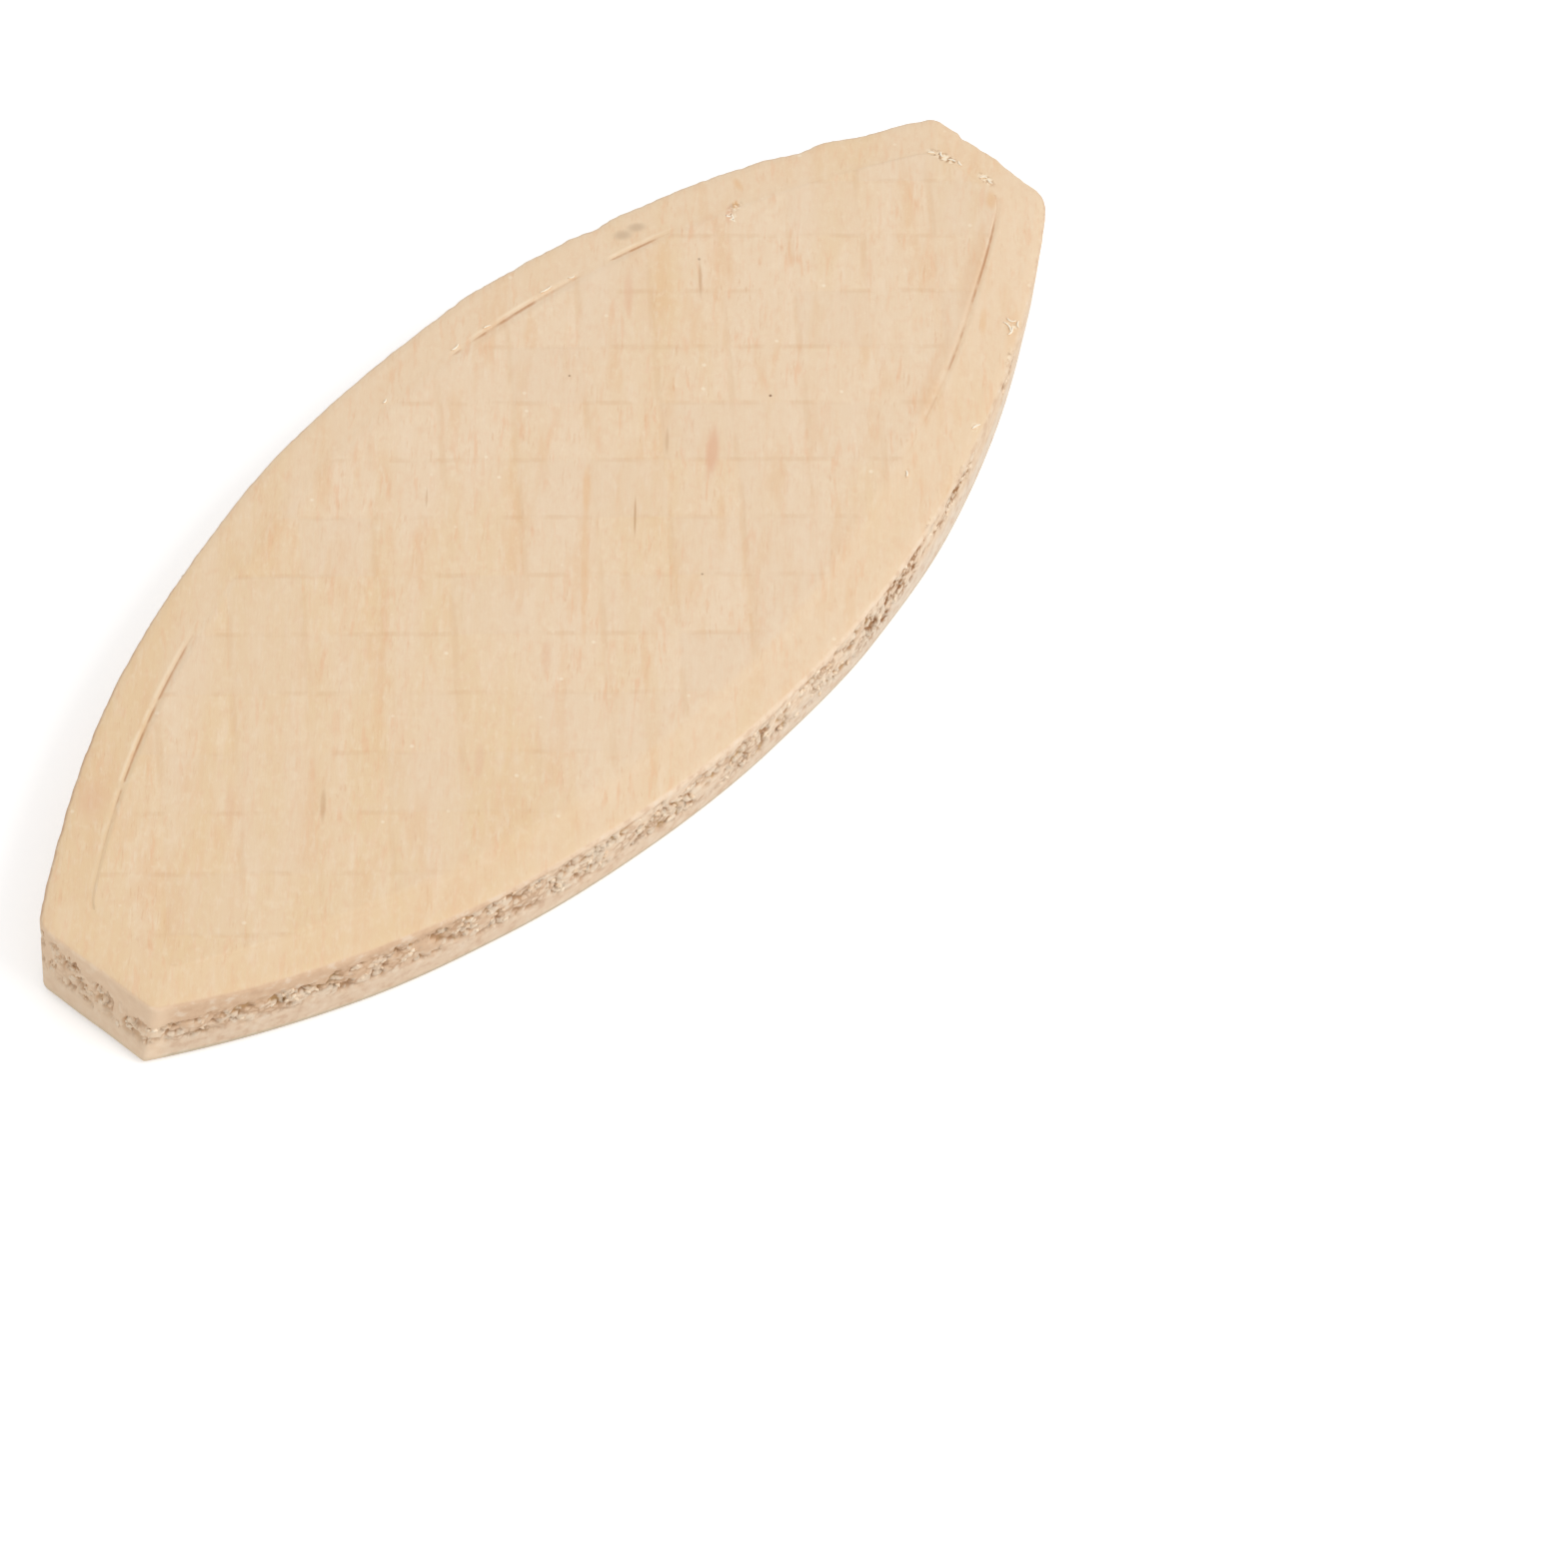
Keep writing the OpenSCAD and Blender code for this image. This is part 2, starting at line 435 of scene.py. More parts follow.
def pressed_depth(x, y, seed):
    """How far the pressed face lies below its highest level, inside the crease."""
    off_a, off_b = groove_distance(x, y)
    strength = 0.4 + 1.2 * slow_noise(x, y, 3.5 * MM, seed)
    grooves = np.maximum(0.55 * np.exp(-(off_a / GROOVE_HALF) ** 2), np.exp(-(off_b / GROOVE_HALF) ** 2))
    half = GRID_PITCH / 2
    dome = 1 - np.minimum(np.sin(np.pi / 2 * off_a / half), np.sin(np.pi / 2 * off_b / half))
    waves = 0.012 * MM * slow_noise(x, y, 9 * MM, seed + 5)
    return GROOVE_DEPTH * strength * grooves + DOME * dome + waves


print("grooves %.3f mm deep, %.2f mm apart" % (GROOVE_DEPTH / MM, GRID_PITCH / MM))

# %% [markdown]
# ## The face sheet
#
# The top is a grid primitive. Its rows are pulled together towards the tips until its border is the crease. A lens
# with clipped tips has four corners, as a grid has, so the whole face stays in quads, with no pole and no fan.
# The border edges are cut in two first, because the torn edge needs columns twice as fine as the face.
#
# The two faces are made alike, so this is a function, and the lower one has cells twice as large. It writes
# the column number of each border vertex into an attribute, which extrusion then copies outwards from ring to
# ring, and marks the pressed field in another.

# %% A grid sheet drawn to the shape of a crease
def border_columns(flat):
    """The column number of each vertex of a grid sheet, or -1 inside it."""
    u, v = flat[:, 0], flat[:, 1]
    part_u, part_v = (u + 1) / 2, (v + 1) / 2
    nearly = 1 - 1e-6
    column = np.full(len(flat), -1)
    on_left, on_far, on_right, on_near = u < -nearly, v > nearly, u > nearly, v < -nearly
    column[on_left] = (2 * LONG + WIDE + np.rint((1 - part_v) * WIDE).astype(int))[on_left]
    column[on_far] = (LONG + WIDE + np.rint((1 - part_u) * LONG).astype(int))[on_far]
    column[on_right] = (LONG + np.rint(part_v * WIDE).astype(int))[on_right]
    column[on_near] = np.rint(part_u * LONG).astype(int)[on_near]
    column[column >= 0] %= COLUMNS
    return column


def drawn_plan(flat, border, column):
    """The plan of a grid sheet whose border lies on a closed line."""
    part_u, part_v = (flat[:, 0] + 1) / 2, (flat[:, 1] + 1) / 2
    near_line = border[:LONG + 1]
    far_line = border[LONG + WIDE:2 * LONG + WIDE + 1][::-1]
    at, places = part_u * LONG, np.arange(LONG + 1)
    near_at = np.c_[np.interp(at, places, near_line[:, 0]), np.interp(at, places, near_line[:, 1])]
    far_at = np.c_[np.interp(at, places, far_line[:, 0]), np.interp(at, places, far_line[:, 1])]
    plan = near_at + (far_at - near_at) * part_v[:, None]
    plan[column >= 0] = border[column[column >= 0]]
    return plan


def face_sheet(name, border, height_of, upwards, coarse=1):
    """One face inside its crease, with the attributes `column` on its border and `field` inside."""
    bpy.ops.object.select_all(action="DESELECT")
    bpy.ops.mesh.primitive_grid_add(x_subdivisions=CELLS_LONG // coarse, y_subdivisions=CELLS_WIDE // coarse,
                                    size=2)
    sheet = bpy.context.object
    sheet.name = name
    bpy.ops.object.mode_set(mode="EDIT")
    bpy.ops.mesh.select_mode(type="EDGE")
    bpy.ops.mesh.select_all(action="DESELECT")
    bpy.ops.mesh.select_non_manifold()
    bpy.ops.mesh.subdivide(number_cuts=2 * coarse - 1)
    if not upwards:
        bpy.ops.mesh.select_all(action="SELECT")
        bpy.ops.mesh.flip_normals()
    bpy.ops.object.mode_set(mode="OBJECT")
    mesh = sheet.data
    flat = np.empty(len(mesh.vertices) * 3)
    mesh.vertices.foreach_get("co", flat)
    flat = flat.reshape(-1, 3)
    column = border_columns(flat)
    flat[:, :2] = drawn_plan(flat, border, column)
    flat[:, 2] = height_of(flat[:, 0], flat[:, 1], column)
    mesh.vertices.foreach_set("co", flat.ravel())
    mesh.attributes.new("column", "INT", "POINT").data.foreach_set("value", column.astype(np.int32))
    inside = (column < 0).astype(np.float32)
    mesh.attributes.new("field", "FLOAT", "POINT").data.foreach_set("value", inside)
    mesh.update()
    return sheet


def crease_depth(column):
    """The crease is deep where the die bit in."""
    return CREASE_DEPTH * (0.3 + 0.7 * strength_at[column])


def top_height(x, y, column):
    return thick - np.where(column >= 0, crease_depth(column), pressed_depth(x, y, seed=1.3))


def underside_height(x, y, column):
    return np.where(column >= 0, crease_depth(column), pressed_depth(x, y, seed=7.7))


biscuit = face_sheet("biscuit_wood", crease, top_height, True)
underside = face_sheet("underside", lower_crease, underside_height, False, coarse=2)
print("face sheet: %d faces" % len(biscuit.data.polygons))

# %% [markdown]
# ## The torn edge
#
# The punch cuts the first part of the thickness cleanly and tears the rest. So from the top the edge shows a smooth,
# slightly pink zone, then a rough zone of pits and tufts of fibre, then a smooth pale zone again. Where those zones
# begin and end changes along the way, and so does how much of the rough zone is really torn: nearly all of it at the
# left end, and only a cluster of pits here and there at the right.
#
# The relief comes from cells in space. Each cell is a small bundle of fibre. It draws a number that makes it a
# pit, a tuft or plain wood, cracks open between some cells, and a slower noise gathers them into clusters. Pits
# and tufts are also kept as attributes, so that the wood can take up their colours later.

# %% Relief of the torn zone
# noise_vector takes its offsets from this seed, and without one from the clock
FIBRE_SEED = 20
noise.seed_set(FIBRE_SEED)
TEAR_DEPTH = 0.23 * MM
CRUMB = 0.4 * MM
CLUSTER = 1.0 * MM
tear_top_near = rule((-28, 0.36), (-25, 0.26), (-20, 0.1), (-14, 0.03), (-9, 0.08), (-2, 0.12), (4, 0.04),
                     (9, -0.04), (28, -0.04), unit=1)
tear_foot_near = rule((-28, 0.7), (-20, 0.62), (-14, 0.68), (-8, 0.74), (0, 0.78), (7, 0.8), (9.5, 0.66), (10.5, 0.42),
                      (11.4, 0.36), (13, 0.5), (14.6, 0.4), (15.2, 0.3), (15.4, 0), (18.4, 0), (19.0, 0.4),
                      (20.2, 0.34), (20.8, 0), (28, 0), unit=1)
tear_top_tip = rule((-3, 0.36), (0, 0.2), (2.8, 0.06), unit=1)
tear_foot_tip = rule((-3, 0.72), (2.8, 0.7), unit=1)
cover_near = rule((-28, 1.0), (-12, 1.0), (-6, 0.84), (4, 0.84), (6.4, 0.95), (8.4, 0.95), (9.6, 0.85), (10.0, 0.35),
                  (10.5, 0.95), (11.2, 0.95), (11.6, 0.25), (12.2, 0.3), (12.7, 0.98), (14.8, 0.95), (15.3, 0.3),
                  (18.4, 0.9), (28, 0.9), unit=1)


def tear_limits(column):
    """Top and foot of the torn zone at each column, as parts of the edge's height."""
    x, y = upper_rim[column, 0], upper_rim[column, 1]
    on_tip = ((column >= LONG) & (column < LONG + WIDE)) | (column >= 2 * LONG + WIDE)
    on_far = (column >= LONG + WIDE) & (column < 2 * LONG + WIDE)
    top = np.where(on_tip, tear_top_tip(y), tear_top_near(np.where(on_far, -x * 0.6, x)))
    foot = np.where(on_tip, tear_foot_tip(y), tear_foot_near(np.where(on_far, -8 * MM + x * 0.4, x)))
    cover = np.where(on_tip, 0.98, cover_near(np.where(on_far, -x * 0.6, x)))
    return top, foot, cover


def tear_weight(column, part):
    """From 0 on smooth wood to 1 in the middle of the torn zone, and how much of the zone is torn."""
    top, foot, cover = tear_limits(column)
    fade = 0.12
    rise = np.clip((part - top) / fade + 0.5, 0, 1)
    fall = np.clip((foot - part) / fade + 0.5, 0, 1)
    return rise * fall * (foot > top), cover


def soft_step(value, start, end):
    part = min(max((value - start) / (end - start), 0), 1)
    return part * part * (3 - 2 * part)


def torn_fibre(point, cover):
    """Depth, pit and tuft at one point of the torn zone, each from 0 to 1."""
    place = Vector(point) / CRUMB
    warp = noise.noise_vector(place * 0.9) * 0.6
    gaps, cells = noise.voronoi(place + warp)
    middle = soft_step(gaps[1] - gaps[0], 0.03, 0.3)
    draw = 0.5 + 0.5 * noise.cell(cells[0] * 7.31)
    cluster = 0.5 + 0.9 * noise.noise(Vector(point) / CLUSTER)
    torn = soft_step(cluster, 0.95 - cover, 1.2 - cover)
    open_crack = soft_step(0.5 + 0.8 * noise.noise(place * 0.6), 0.38, 0.6)
    whole_cell = soft_step(draw, 0.93, 0.97) * middle
    fine = noise.noise(place * 2.9)
    pit = min(max((1 - middle) * open_crack, 0.9 * whole_cell) + 0.12 * fine, 1) * torn
    tuft = soft_step(draw, 0.5, 0.42) * middle * torn
    depth = torn * (0.15 + 0.12 * fine) + 0.85 * pit - 0.15 * tuft
    return min(max(depth, 0), 1), max(pit, 0), tuft


sample = [torn_fibre((i * 0.3 * MM, 0, 2 * MM), 0.8) for i in range(400)]
print("mean depth %.2f, pit %.2f, tuft %.2f" % tuple(np.mean(sample, axis=0)))

# %% [markdown]
# ## Rings from the crease round to the underside
#
# From the crease outwards the mesh is grown as a modeller does it: the border edges are extruded, and the new ring
# is set in its place, again and again, over the plain border, round the small arris, down the torn edge, round the
# lower arris and in to the lower crease. Each ring is one closed line at one level, or a mix of two of them.

# %% Extrude ring after ring
EDGE_RINGS = 36
border_parts = (0.05, 0.1, 0.16, 0.34, 0.56, 0.8, 1.0)
edge_top, edge_foot = thick - BORDER_DROP - ARRIS, BORDER_DROP + ARRIS
PAINTED = ("torn", "pit", "tuft", "edge", "down", "creased", "lip")


def ring_list():
    """(plan, height, part of the edge, kind) of every ring after the crease."""
    rings = []
    arris_line = moved_in(upper_rim, ARRIS)
    groove = crease_depth(np.arange(COLUMNS))
    for part in border_parts:
        rise = min(part / border_parts[1], 1)
        lip = thick - groove + (groove - BORDER_LIP) * rise
        sloping = thick - BORDER_LIP - (BORDER_DROP - BORDER_LIP) * part
        kind = "lip" if part == border_parts[1] else "face"
        rings.append((crease + (arris_line - crease) * part, lip if rise < 1 else sloping, 0.0, kind))
    half_way = ARRIS * (1 - math.sqrt(0.5))
    rings.append((moved_in(upper_rim, half_way), thick - BORDER_DROP - half_way, 0.0, "arris"))
    for i in range(EDGE_RINGS + 1):
        part = i / EDGE_RINGS
        plan = upper_rim + (lower_rim - upper_rim) * part
        rings.append((plan, edge_top + (edge_foot - edge_top) * part, part, "edge"))
    rings.append((moved_in(lower_rim, half_way), BORDER_DROP + half_way, 1.0, "arris"))
    lower_arris = moved_in(lower_rim, ARRIS)
    rings.append((lower_arris, BORDER_DROP, 1.0, "face"))
    rings.append((lower_arris + (lower_crease - lower_arris) * 0.5, BORDER_DROP * 0.6, 1.0, "face"))
    rings.append((lower_arris + (lower_crease - lower_arris) * 0.88, BORDER_LIP, 1.0, "face"))
    rings.append((lower_crease, groove, 1.0, "face"))
    return rings


def torn_ring(plan, level, part):
    """Depth, pit and tuft of each column of one ring."""
    weight, cover = tear_weight(columns, part)
    made = np.zeros((COLUMNS, 3))
    for c in np.nonzero(weight > 0)[0]:
        made[c] = torn_fibre((plan[c, 0], plan[c, 1], level[c]), cover[c])
    return made * weight[:, None], weight


columns = np.arange(COLUMNS)
inward = moved_in(upper_rim, 1.0) - upper_rim
# The painted highlight on the crease's lip is full strength on the far side and weaker elsewhere
lip_highlight_share = np.where((columns >= LONG + WIDE) & (columns < 2 * LONG + WIDE), 1.0, 0.35)
tuft_places = []
bpy.ops.object.select_all(action="DESELECT")
biscuit.select_set(True)
bpy.context.view_layer.objects.active = biscuit
mesh = biscuit.data
for name in PAINTED:
    mesh.attributes.new(name, "FLOAT", "POINT")
border = np.empty(len(mesh.vertices), np.int32)
mesh.attributes["column"].data.foreach_get("value", border)
creased = np.where(border >= 0, strength_at[border], 0).astype(np.float32)
mesh.attributes["creased"].data.foreach_set("value", creased)
bpy.ops.object.mode_set(mode="EDIT")
bpy.ops.mesh.select_mode(type="EDGE")
bpy.ops.mesh.select_all(action="DESELECT")
bpy.ops.mesh.select_non_manifold()
for plan, z, part, kind in ring_list():
    bpy.ops.mesh.extrude_edges_move(MESH_OT_extrude_edges_indiv={"mirror": False},
                                    TRANSFORM_OT_translate={"value": (0, 0, 0)})
    level = np.zeros(COLUMNS) + z
    fibre, weight = np.zeros((COLUMNS, 3)), np.zeros(COLUMNS)
    if kind == "edge" and 0 < part < 1:
        fibre, weight = torn_ring(plan, level, part)
        plan = plan + inward * (fibre[:, 0] * TEAR_DEPTH)[:, None]
        tuft_places += [(*plan[c], level[c], c) for c in np.nonzero(fibre[:, 2] > 0.6)[0]]
    edit = bmesh.from_edit_mesh(mesh)
    column_of = edit.verts.layers.int["column"]
    layers = [edit.verts.layers.float[name] for name in PAINTED]
    on_edge = 1.0 if kind in ("edge", "arris") else 0.0
    # Painted highlight on the crease's lip ring, kept in the attribute lip.
    lip = strength_at * lip_highlight_share * (kind == "lip")
    for vert in edit.verts:
        if vert.select:
            c = vert[column_of]
            vert.co = (plan[c, 0], plan[c, 1], level[c])
            for layer, value in zip(layers, (weight[c], fibre[c, 1], fibre[c, 2], on_edge, part, 0.0, lip[c])):
                vert[layer] = value
bpy.ops.object.mode_set(mode="OBJECT")
print("with its rings: %d faces, %d places on tufts" % (len(mesh.polygons), len(tuft_places)))

# %% [markdown]
# ## Closing the mesh
#
# The last ring lies exactly on the border of the underside sheet. The two are joined, and merging the vertices that
# share a place closes the biscuit into one skin. A check counts the edges that don't have two faces and prints how
# many there are.

# %% Join the underside
for name in PAINTED:
    underside.data.attributes.new(name, "FLOAT", "POINT")
underside.data.attributes["down"].data.foreach_set("value", [1.0] * len(underside.data.vertices))
bpy.ops.object.select_all(action="DESELECT")
underside.select_set(True)
biscuit.select_set(True)
bpy.context.view_layer.objects.active = biscuit
bpy.ops.object.join()
bpy.ops.object.mode_set(mode="EDIT")
bpy.ops.mesh.select_all(action="SELECT")
bpy.ops.mesh.remove_doubles(threshold=1e-7)
bpy.ops.mesh.normals_make_consistent(inside=False)
bpy.ops.object.mode_set(mode="OBJECT")
bpy.ops.object.shade_smooth()
mesh = biscuit.data
check = bmesh.new()
check.from_mesh(mesh)
open_edges = sum(len(e.link_faces) != 2 for e in check.edges)
print("closed skin: %d vertices, %d open edges, volume %.0f mm3, %d triangles"
      % (len(check.verts), open_edges, check.calc_volume() / MM**3, sum(len(f.verts) - 2 for f in check.faces)))
check.free()

# %% [markdown]
# ## Beech: the streaks
#
# Beech is pale and even. Its colour changes slowly across the board, and over that lie streaks, fine fibre and short
# dark flecks, all long in the direction of the grain. Biscuits are cut with the grain at a slant, here at about 37
# degrees to the length, so a Mapping node first turns the coordinates into the grain. Each layer is then noise that
# is stretched along the first axis, laid over the last with a light hand. The noise is solid, so the edge shows the
# same streaks cut across, as real wood does.

# %% Layers of wood colour
GRAIN_TURN = math.radians(37)
wood, tree = new_material("beech")
place = add(tree, "TexCoord").outputs["Object"]
in_grain = add(tree, "Mapping", {"Vector": place, "Rotation": (0, 0, -GRAIN_TURN)}).outputs[0]


def streaks(across, along, seed, detail=2.0):
    """Noise drawn out along the grain, with its size across and along in mm."""
    scale = (1 / (along * MM), 1 / (across * MM), 1 / (across * MM))
    vector = add(tree, "Mapping", {"Vector": in_grain, "Scale": scale, "Location": (seed, seed * 1.7, 0)})
    sockets = {"Vector": vector.outputs[0], "Scale": 1.0, "Detail": detail, "Roughness": 0.55}
    return add(tree, "TexNoise", sockets).outputs["Fac"]


along_x = add(tree, "SeparateXYZ", {0: place}).outputs["X"]
cream_to_right = ramp(tree, along_x, -26 * MM, 14 * MM, 0.11, -0.16)
slow = number(tree, "ADD", streaks(2.4, 13, 3.1), cream_to_right)
colour = blend(tree, ramp(tree, slow, 0.3, 0.72), srgb(236, 210, 179), srgb(233, 203, 162))
patchy = ramp(tree, streaks(2.2, 3.4, 66.2), 0.36, 0.66, 0.5, 1.5)
LAYERS = (
    # across, along, seed, noise that starts it, noise that ends it, colour, strength, in patches
    (0.9, 4.5, 11.3, 0.5, 0.72, srgb(230, 190, 147), 0.5, False),
    (0.6, 3.0, 27.9, 0.5, 0.74, srgb(241, 219, 192), 0.34, False),
    (0.36, 0.5, 52.6, 0.46, 0.74, srgb(230, 191, 156), 0.33, False),
    (0.32, 0.45, 34.8, 0.5, 0.74, srgb(243, 222, 192), 0.33, False),
    (0.26, 1.5, 5.7, 0.54, 0.72, srgb(232, 182, 142), 0.33, True),
    (0.2, 1.0, 41.2, 0.54, 0.74, srgb(240, 220, 194), 0.33, False),
    (0.12, 0.7, 17.4, 0.58, 0.74, srgb(218, 172, 130), 0.26, True),
    (0.1, 0.3, 73.9, 0.58, 0.74, srgb(246, 228, 202), 0.24, False),
)
for across, along, seed, start, end, tint, strength, in_patches in LAYERS:
    amount = ramp(tree, streaks(across, along, seed), start, end, 0, strength)
    if in_patches:
        amount = number(tree, "MULTIPLY", amount, patchy)
    colour = blend(tree, amount, colour, tint)
dots = add(tree, "TexVoronoi", {"Vector": place, "Scale": 1 / (1.5 * MM)}).outputs["Distance"]
colour = blend(tree, ramp(tree, dots, 0.03, 0.08, 0.6, 0.0), colour, srgb(250, 234, 208))
print("%d nodes after %d layers" % (len(tree.nodes), len(LAYERS)))

# %% [markdown]
# ## Beech: the lines of the die
#
# The raised lines of the die pressed shallow grooves, and a thin painted shade lies in each groove. The distance to
# the nearest line comes from the fraction of a pitch, and a noise breaks the line up, as the die only touched here and
# there. The plain border is a shade yellower. The crease gets the grooves' painted shade, much darker where its
# attribute says it is strong, and the lip beside it gets a painted highlight.

# %% Grid lines and crease
SHAKE = 0.1 * MM
wavy = add(tree, "TexNoise", {"Vector": place, "Scale": 1 / (1.6 * MM), "Detail": 2.0}).outputs["Color"]
shift = add(tree, "VectorMath", {0: wavy, 1: (SHAKE,) * 3}, operation="MULTIPLY").outputs[0]
shaken = add(tree, "VectorMath", {0: place, 1: shift}, operation="ADD").outputs[0]
in_grid = add(tree, "Mapping", {"Vector": shaken, "Rotation": (0, 0, -GRID_TURN)}).outputs[0]
grid_axes = add(tree, "SeparateXYZ", {0: in_grid}).outputs


def grid_line(axis, half_line, breaks):
    """1 on the lines across one axis of the grid, broken up by a noise."""
    part = number(tree, "FRACT", number(tree, "DIVIDE", grid_axes[axis], GRID_PITCH))
    off = number(tree, "ABSOLUTE", number(tree, "SUBTRACT", part, 0.5))
    line = ramp(tree, off, half_line * 0.35 / (GRID_PITCH / MM), half_line / (GRID_PITCH / MM), 1.0, 0.0)
    return number(tree, "MULTIPLY", line, ramp(tree, breaks, 0.42, 0.64))


scattered = add(tree, "TexNoise", {"Vector": place, "Scale": 1 / (1.3 * MM), "Detail": 3.0}).outputs["Fac"]
across_lines = grid_line("X", 0.17, scattered)
down_lines = grid_line("Y", 0.2, streaks(0.8, 3, 61.0))
field = attribute(tree, "field")
from_cell = add(tree, "VectorMath", {0: in_grid, 1: (GRID_PITCH,) * 3}, operation="DIVIDE").outputs[0]
cell_number = add(tree, "VectorMath", {0: from_cell, 1: (0.5,) * 3}, operation="ADD").outputs[0]
cell_number = add(tree, "VectorMath", {0: cell_number}, operation="FLOOR").outputs[0]
cell_draw = add(tree, "TexWhiteNoise", {"Vector": cell_number}, noise_dimensions="3D").outputs["Value"]
cell_tint = number(tree, "MULTIPLY", ramp(tree, cell_draw, 0.3, 1.0, 0.0, 0.3), field)
colour = blend(tree, cell_tint, colour, srgb(231, 206, 178))
on_border = ramp(tree, field, 0.0, 1.0, 0.2, 0.0)
colour = blend(tree, on_border, colour, srgb(236, 204, 165))
# Painted shade in the grooves: a thin darker tint along each grid line of the field.
across_groove_shade = number(tree, "MULTIPLY", number(tree, "MULTIPLY", across_lines, field), 0.22)
down_groove_shade = number(tree, "MULTIPLY", number(tree, "MULTIPLY", down_lines, field), 0.26)
colour = blend(tree, across_groove_shade, colour, srgb(212, 168, 122))
colour = blend(tree, down_groove_shade, colour, srgb(219, 178, 134))
creased = attribute(tree, "creased")
# Painted shade along the crease, darkest where the creased attribute is high.
crease_shade = number(tree, "MULTIPLY", ramp(tree, creased, 0.14, 0.8), ramp(tree, scattered, 0.38, 0.56, 0.25, 1.0))
colour = blend(tree, number(tree, "MULTIPLY", crease_shade, 0.66), colour, srgb(180, 118, 70))
# Painted highlight: the lip beside the crease is lightened where the lip attribute is set.
lip_highlight = number(tree, "MULTIPLY", attribute(tree, "lip"), ramp(tree, scattered, 0.38, 0.56, 0.1, 0.9))
colour = blend(tree, lip_highlight, colour, srgb(247, 226, 196))
print("%d nodes with the lines" % len(tree.nodes))

# %% [markdown]
# ## Beech: marks
#
# The wood has a few marks of its own: a grey smudge, dark points, pinkish and ochre streaks, long dark fibres and a
# darker tone along the sharp crease. Each is a soft ellipse. A Mapping node of the Texture kind moves the origin to
# the mark, turns it and divides by its half sizes, so that the length of the result is 1 on the mark's rim.

# %% Marks on the upper face
INK, BARK, ROSE = srgb(128, 92, 62), srgb(190, 146, 104), srgb(226, 180, 146)
SMOKE, OCHRE, DUSK = srgb(204, 178, 148), srgb(228, 180, 128), srgb(226, 188, 150)
MARKS = (
    # x, y, half length, half width, turn in degrees, colour, strength
    (14.3, 8.35, 0.55, 0.4, -35, SMOKE, 0.75),
    (15.0, 8.2, 0.55, 0.36, -35, SMOKE, 0.75),
    (11.6, -1.4, 0.09, 0.08, 0, INK, 0.9),
    (7.75, -1.5, 1.7, 0.36, 34, ROSE, 0.8),
    (14.5, 4.5, 1.25, 0.1, 40, BARK, 0.45),
    (15.3, 5.2, 0.1, 0.08, 40, INK, 0.5),
    (3.1, -1.3, 1.3, 0.07, 38, BARK, 0.6),
    (-0.3, -1.5, 4.8, 0.22, 38, OCHRE, 0.35),
    (7.0, 5.2, 0.07, 0.07, 0, INK, 0.7),
    (2.6, -5.1, 0.07, 0.07, 0, INK, 0.6),
    (18.0, 5.8, 0.7, 0.2, 37, ROSE, 0.6),
    (-16.2, -1.4, 1.1, 0.16, 38, BARK, 0.4),
    (-21.9, 5.5, 1.5, 0.9, 37, ROSE, 0.4),
    (22.2, -3.4, 3.4, 0.45, 28, DUSK, 0.5),
    (17.0, -5.5, 3.2, 0.4, 21, DUSK, 0.35),
    (20.5, -5.3, 1.1, 0.22, 36, OCHRE, 0.4),
    (17.1, -8.8, 0.8, 0.25, 24, OCHRE, 0.5),
    (25.8, -1.6, 0.7, 0.3, 40, OCHRE, 0.5),
    (2.9, 1.0, 1.6, 0.24, 38, OCHRE, 0.45),
    (12.0, 6.2, 1.5, 0.28, 38, ROSE, 0.45),
    (19.6, 6.6, 0.6, 0.25, 60, OCHRE, 0.5),
    (18.6, 5.95, 0.35, 0.2, 40, OCHRE, 0.8),
    (7.0, 0.2, 0.9, 0.1, 38, BARK, 0.35),
    (-1.7, 5.4, 0.7, 0.07, 38, BARK, 0.35),
    (-10.5, -4.5, 1.4, 0.25, 37, ROSE, 0.35),
    (-4.8, -3.2, 1.2, 0.3, 37, ROSE, 0.35),
    (-18.7, 1.2, 1.8, 0.25, 38, ROSE, 0.3),
)
MARK_THICK = 0.45


def inside_mark(x, y, half_long, half_wide, turn, strength):
    """The strength in the middle of an ellipse on the upper face, falling softly to 0 on its rim."""
    sockets = {"Vector": place, "Location": (x * MM, y * MM, thick), "Rotation": (0, 0, math.radians(turn)),
               "Scale": (half_long * MM, half_wide * MM, MARK_THICK * MM)}
    from_mark = add(tree, "Mapping", sockets, vector_type="TEXTURE").outputs[0]
    reach = add(tree, "VectorMath", {0: from_mark}, operation="LENGTH").outputs["Value"]
    return ramp(tree, reach, 0.3, 1.0, strength, 0.0)


for *shape, tint, strength in MARKS:
    colour = blend(tree, inside_mark(*shape, strength), colour, tint)
print("%d marks" % len(MARKS))

# %% [markdown]
# ## Beech: bruised spots
#
# In a few places near the rim the die chafed the wood. There it is speckled with fine dark and light bits. Each spot
# is an ellipse again, and inside it a fine noise chooses which points go dark and which go light.

